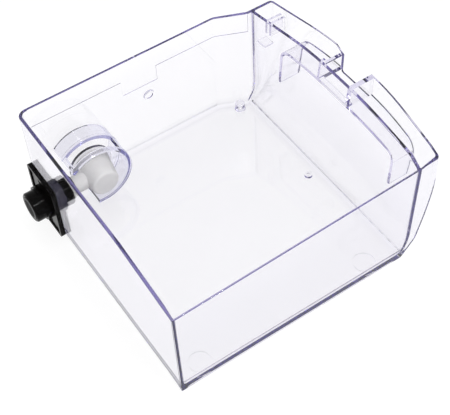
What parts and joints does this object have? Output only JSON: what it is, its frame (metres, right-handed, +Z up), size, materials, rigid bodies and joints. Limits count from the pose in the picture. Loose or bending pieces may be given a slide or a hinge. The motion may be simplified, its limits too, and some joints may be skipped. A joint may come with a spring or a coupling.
{
  "type": "fresh water tank",
  "caption": "Clear open-topped drawer tank for fresh water with a bowed double front, finger notch, sprung outlet valve in a black connector and a hooded filter.",
  "frame": {"origin": "centre of the flat rectangular underside, midway between the outer faces of the two side walls", "axes": "+X from the connector wall at the back to the bowed front fascia, +Y from the low near side wall to the far side wall where the connector sits, +Z up"},
  "size_m": [0.2419, 0.205, 0.097],
  "materials": {
    "clear_plastic": "water-clear, polished",
    "hood_plastic": "water-clear, thick-walled",
    "black_plastic": "moulded, semi-gloss",
    "nut_plastic": "moulded, satin",
    "grey_seal": "matte",
    "black_rubber": "matte",
    "washer_plastic": "natural, satin",
    "white_plastic": "off-white, fine matte",
    "smoke_plastic": "translucent grey",
    "poppet_plastic": "natural, satin",
    "spring_steel": "drawn wire"
  },
  "bodies": {
    "tank": {"tank_shell": "clear_plastic", "filter_hood": "hood_plastic", "connector_body": "black_plastic", "mouth_seal": "grey_seal", "flange_gasket": "black_rubber", "slip_washer": "washer_plastic", "retaining_nut": "nut_plastic", "spring_cage": "poppet_plastic", "valve_spring": "spring_steel"},
    "valve": {"valve_poppet": "poppet_plastic", "poppet_seal": "black_rubber"},
    "filter": {"filter_drum": "white_plastic", "filter_flange": "smoke_plastic", "filter_core": "white_plastic", "neck_seal": "black_rubber"}
  },
  "joints": [
    {"name": "valve_slide", "type": "slide", "parent": "tank", "child": "valve", "axis": [1, 0, 0], "range_m": [0, 0.004], "stiffness_N_per_m": 300, "springref_m": -0.006, "deforming": ["valve_spring"]},
    {"name": "filter_pull", "type": "slide", "parent": "tank", "child": "filter", "axis": [1, 0, 0], "range_m": [0, 0.0045]}
  ]
}
